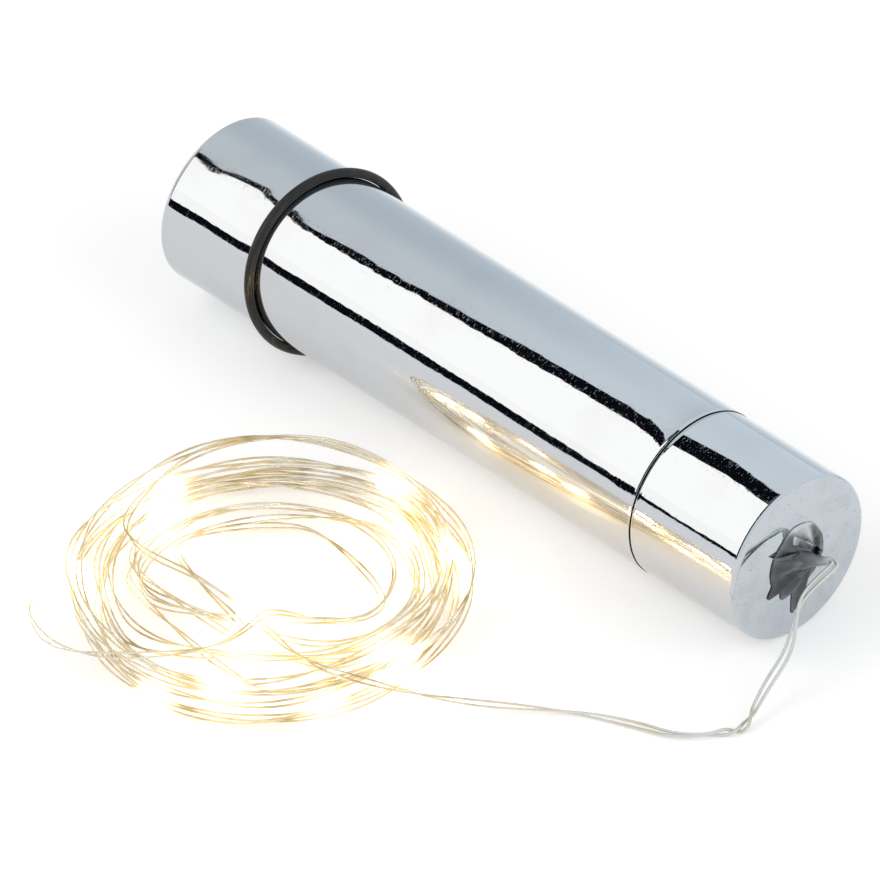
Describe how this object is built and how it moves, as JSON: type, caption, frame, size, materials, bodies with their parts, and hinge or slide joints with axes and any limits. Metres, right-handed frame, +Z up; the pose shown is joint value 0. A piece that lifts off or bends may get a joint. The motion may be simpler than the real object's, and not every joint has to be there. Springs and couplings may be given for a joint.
{
  "type": "bottle string light",
  "caption": "Chromed tube light for a bottle's neck, with a rubber stop ring, a screwed end cap that is both switch and battery door, and a string of warm LEDs lying in a loose coil.",
  "frame": {"origin": "on the surface, under the middle of the tube and its glue tip", "axes": "+X along the tube from its closed end to its end cap, +Z up, the coil on the -Y side"},
  "size_m": [0.0868, 0.0635, 0.0193],
  "materials": {
    "chrome": "mirror polished",
    "stop_rubber": "satin",
    "brass": "turned",
    "spring_steel": "bright",
    "liner_plastic": "matte",
    "cell_metal": "bright",
    "cell_sleeve": "gloss",
    "board_green": "solder mask",
    "foam": "open cell",
    "chip_black": "moulded",
    "ferrite": "sintered",
    "copper": "enamelled",
    "ceramic": "fired",
    "solder": "bright",
    "lead_insulation": "satin",
    "hot_melt": "cast, uneven",
    "string_silver": "lacquered wire",
    "bead_epoxy": "clear",
    "led_phosphor": "matte"
  },
  "bodies": {
    "string_cap": {"end_cap": "chrome", "thread_collar": "brass", "driver_board": "board_green", "positive_contact": "brass", "contact_foam": "foam", "driver_chip": "chip_black", "inductor_core": "ferrite", "inductor_winding": "copper", "capacitor": "ceramic", "rectifier": "chip_black", "solder_joints": "solder", "inner_leads": "lead_insulation", "glue_plug": "hot_melt", "string_lead": "string_silver", "string_coil": "string_silver", "string_tail": "string_silver", "led_beads": "bead_epoxy", "led_chips": "led_phosphor"},
    "battery": {"cell_body": "cell_metal", "cell_base": "spring_steel", "cell_button": "spring_steel", "cell_jacket": "cell_sleeve"},
    "barrel": {"barrel_tube": "chrome", "cell_liner": "liner_plastic", "thread_bush": "brass", "spring_plate": "spring_steel", "tail_spring": "spring_steel"},
    "stop_ring": {"stop_ring": "stop_rubber"}
  },
  "joints": [
    {"name": "barrel_travel", "type": "slide", "parent": "string_cap", "child": "battery", "axis": [-0.9999, 0, 0.0143], "range_m": [0, 0.005]},
    {"name": "barrel_twist", "type": "hinge", "parent": "battery", "child": "barrel", "pos_m": [-0.0411, 0, 0.00988], "axis": [-0.9999, 0, 0.0143], "range_deg": [0, 1800]},
    {"name": "stop_ring_slide", "type": "slide", "parent": "barrel", "child": "stop_ring", "axis": [0.9999, 0, -0.0143], "range_m": [-0.0115, 0.0475]}
  ],
  "couplings": [
    {"joint": "barrel_twist", "follows": "barrel_travel", "rad_per_m": 6283.2}
  ]
}
